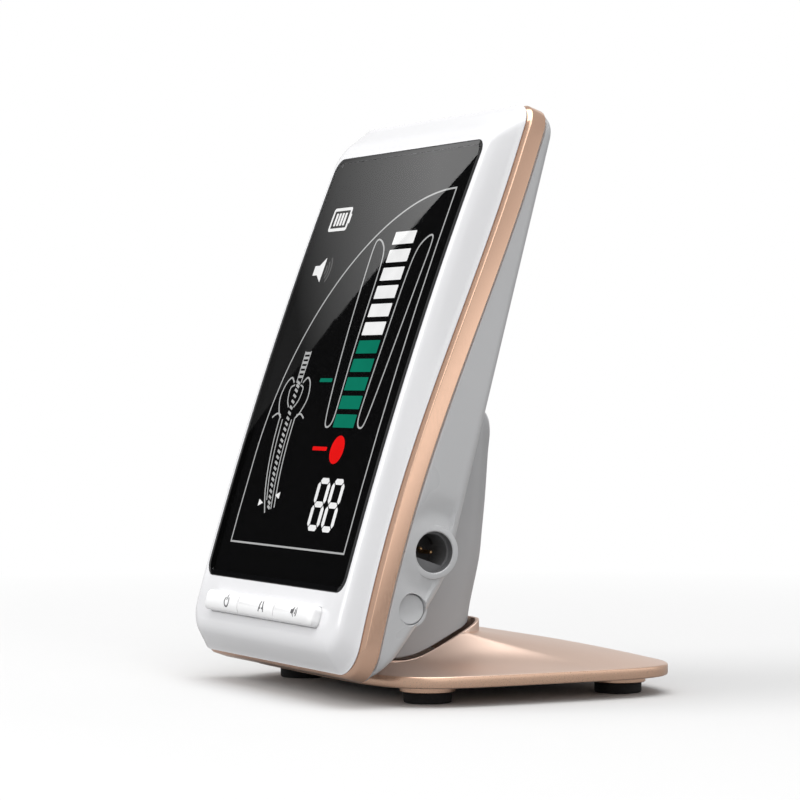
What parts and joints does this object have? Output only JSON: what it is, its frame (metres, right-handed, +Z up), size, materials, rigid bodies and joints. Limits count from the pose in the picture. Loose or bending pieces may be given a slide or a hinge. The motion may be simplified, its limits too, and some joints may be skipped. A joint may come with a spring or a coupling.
{
  "type": "apex locator",
  "caption": "Desktop apex locator: a leaning display head with a key bar and side sockets, tilting on a flat weighted base.",
  "frame": {"origin": "on the floor, under the middle of the outline seen from above", "axes": "+X to the right of the object seen from its front, -Y to the front where the display faces, +Z up"},
  "size_m": [0.093, 0.0884, 0.1315],
  "materials": {
    "shell_white": "gloss",
    "shell_grey": "satin",
    "neck_grey": "satin",
    "key_white": "satin",
    "window_black": "polished",
    "seal_black": "matte",
    "lcd_dark": "polished",
    "diffuser": "matte",
    "flex_amber": "satin",
    "trim_gold": "polished and anodised",
    "base_gold": "satin anodised",
    "membrane_grey": "matte",
    "part_black": "matte",
    "board_green": "satin",
    "steel": "satin",
    "contact_gold": "polished",
    "cell_blue": "satin",
    "wire_red": "satin",
    "rubber_black": "matte",
    "cover_dark": "matte"
  },
  "bodies": {
    "base": {"base_plate": "base_gold", "counterweight": "steel", "base_cover": "cover_dark", "cover_screws": "steel", "foot_pads": "trim_gold", "rubber_feet": "rubber_black", "hinge_bracket": "steel", "bracket_screws": "steel", "hinge_pin": "steel", "pin_clip": "steel", "friction_washers": "steel"},
    "head": {"front_housing": "shell_white", "display_window": "window_black", "window_gasket": "seal_black", "lcd_panel": "lcd_dark", "backlight": "diffuser", "lcd_flex": "flex_amber", "trim_band": "trim_gold", "rear_housing": "shell_grey", "key_membrane": "membrane_grey", "switch_board": "board_green", "tact_switches": "part_black", "main_board": "board_green", "board_screws": "steel", "buzzer": "part_black", "socket_core": "part_black", "contact_pins": "contact_gold", "charge_jack": "part_black", "battery": "cell_blue", "battery_lead": "wire_red", "battery_cover": "neck_grey", "cover_screw": "steel", "housing_screws": "steel", "neck": "neck_grey", "neck_screws": "steel", "hinge_knuckle": "steel", "knuckle_screws": "steel"},
    "power_key_body": {"power_key": "key_white"},
    "set_key_body": {"set_key": "key_white"},
    "volume_key_body": {"volume_key": "key_white"},
    "port_cap_body": {"port_cap": "shell_grey"}
  },
  "joints": [
    {"name": "head_tilt", "type": "hinge", "parent": "base", "child": "head", "pos_m": [0, -0.01177, 0.017], "axis": [-1, 0, 0], "range_deg": [0, 9]},
    {"name": "power_key_press", "type": "slide", "parent": "head", "child": "power_key_body", "axis": [0, 0.9447, -0.328], "range_m": [0, 0.0008], "stiffness_N_per_m": 300},
    {"name": "set_key_press", "type": "slide", "parent": "head", "child": "set_key_body", "axis": [0, 0.9447, -0.328], "range_m": [0, 0.0008], "stiffness_N_per_m": 300},
    {"name": "volume_key_press", "type": "slide", "parent": "head", "child": "volume_key_body", "axis": [0, 0.9447, -0.328], "range_m": [0, 0.0008], "stiffness_N_per_m": 300},
    {"name": "port_cap_pull", "type": "slide", "parent": "head", "child": "port_cap_body", "axis": [1, 0, 0], "range_m": [0, 0.006]}
  ]
}
